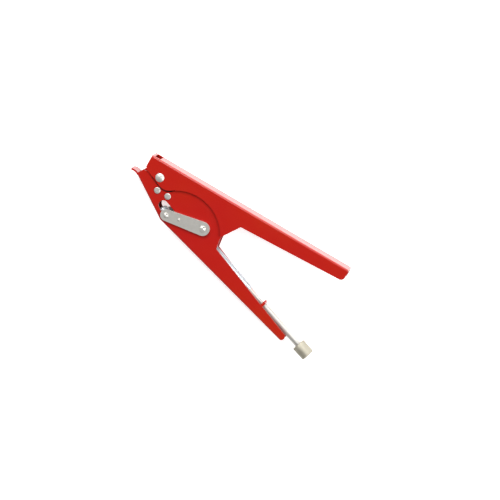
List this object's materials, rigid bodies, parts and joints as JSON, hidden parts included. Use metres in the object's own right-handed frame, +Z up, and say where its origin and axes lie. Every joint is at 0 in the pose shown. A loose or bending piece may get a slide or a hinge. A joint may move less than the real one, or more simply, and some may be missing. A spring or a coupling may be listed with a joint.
{
  "type": "cable tie tensioning tool",
  "caption": "Hand tool with two folded sheet-steel handles that squeeze together to tension and cut plastic ties, with a spring-loaded adjuster knob.",
  "frame": {"origin": "centre of the tool's box, on the surface it lies on", "axes": "+X from the nose along the main handle, +Y towards the main handle's top face, +Z up through the tool's thickness"},
  "size_m": [0.2042, 0.086, 0.0227],
  "materials": {
    "red_enamel": "gloss stoved enamel on sheet steel",
    "plated_steel": "zinc-plated, fine satin",
    "bright_steel": "bright spring and tool steel",
    "black_steel": "blackened steel, oiled",
    "bush_bronze": "sintered bronze",
    "nickel": "warm satin nickel plate"
  },
  "bodies": {
    "front_handle": {"front_channel": "red_enamel", "nose_block": "black_steel", "nose_rivets": "plated_steel", "pivot_bush": "bush_bronze", "cutter_blade": "bright_steel", "blade_screws": "black_steel", "rod_bracket": "red_enamel"},
    "main_handle": {"main_channel": "red_enamel", "cam_plate": "bright_steel", "pivot_screw": "plated_steel", "pivot_nut": "plated_steel", "pivot_washers": "bright_steel"},
    "carriage": {"drive_pin": "plated_steel", "cam_bush": "bright_steel", "drive_spacers": "bright_steel", "spring_clevis": "bright_steel"},
    "links": {"near_link": "plated_steel", "far_link": "plated_steel", "gripper_pin": "plated_steel", "link_studs": "plated_steel", "pawl_springs": "bright_steel"},
    "pawl": {"gripper_pawl": "bright_steel"},
    "tension_rod": {"adjuster_rod": "plated_steel", "spring_plug": "bright_steel", "tension_spring": "bright_steel"},
    "knob": {"adjuster_knob": "nickel", "adjuster_sleeve": "plated_steel", "knob_screw": "black_steel", "thrust_washer": "plated_steel"}
  },
  "joints": [
    {"name": "squeeze", "type": "hinge", "parent": "front_handle", "child": "main_handle", "pos_m": [-0.07765, 0.02999, 0.0123], "axis": [0, 0, -1], "range_deg": [0, 11.5], "stiffness_Nm_per_rad": 1.2, "springref_deg": -28.65},
    {"name": "carriage_slide", "type": "slide", "parent": "front_handle", "child": "carriage", "axis": [-0.9483, 0.3173, 0], "range_m": [0, 0.006], "deforming": ["tension_spring"]},
    {"name": "link_swing", "type": "hinge", "parent": "carriage", "child": "links", "pos_m": [-0.02625, 0.01108, 0.0123], "axis": [0, 0, -1], "range_deg": [0, 4]},
    {"name": "pawl_swing", "type": "hinge", "parent": "links", "child": "pawl", "pos_m": [-0.05816, 0.00551, 0.0123], "axis": [0, 0, -1], "range_deg": [0, 12], "stiffness_Nm_per_rad": 0.01, "springref_deg": -17.19},
    {"name": "knob_turn", "type": "hinge", "parent": "front_handle", "child": "knob", "pos_m": [0.09461, -0.03568, 0.0123], "axis": [0.9483, -0.3173, 0], "range_deg": [-1080, 1080]},
    {"name": "rod_feed", "type": "slide", "parent": "front_handle", "child": "tension_rod", "axis": [0.9483, -0.3173, 0], "range_m": [-0.0021, 0.0021]}
  ],
  "couplings": [
    {"joint": "carriage_slide", "follows": "squeeze", "m_per_rad": 0.029893},
    {"joint": "link_swing", "follows": "squeeze", "ratio": 0.34782},
    {"joint": "knob_turn", "follows": "rod_feed", "rad_per_m": 8976}
  ]
}
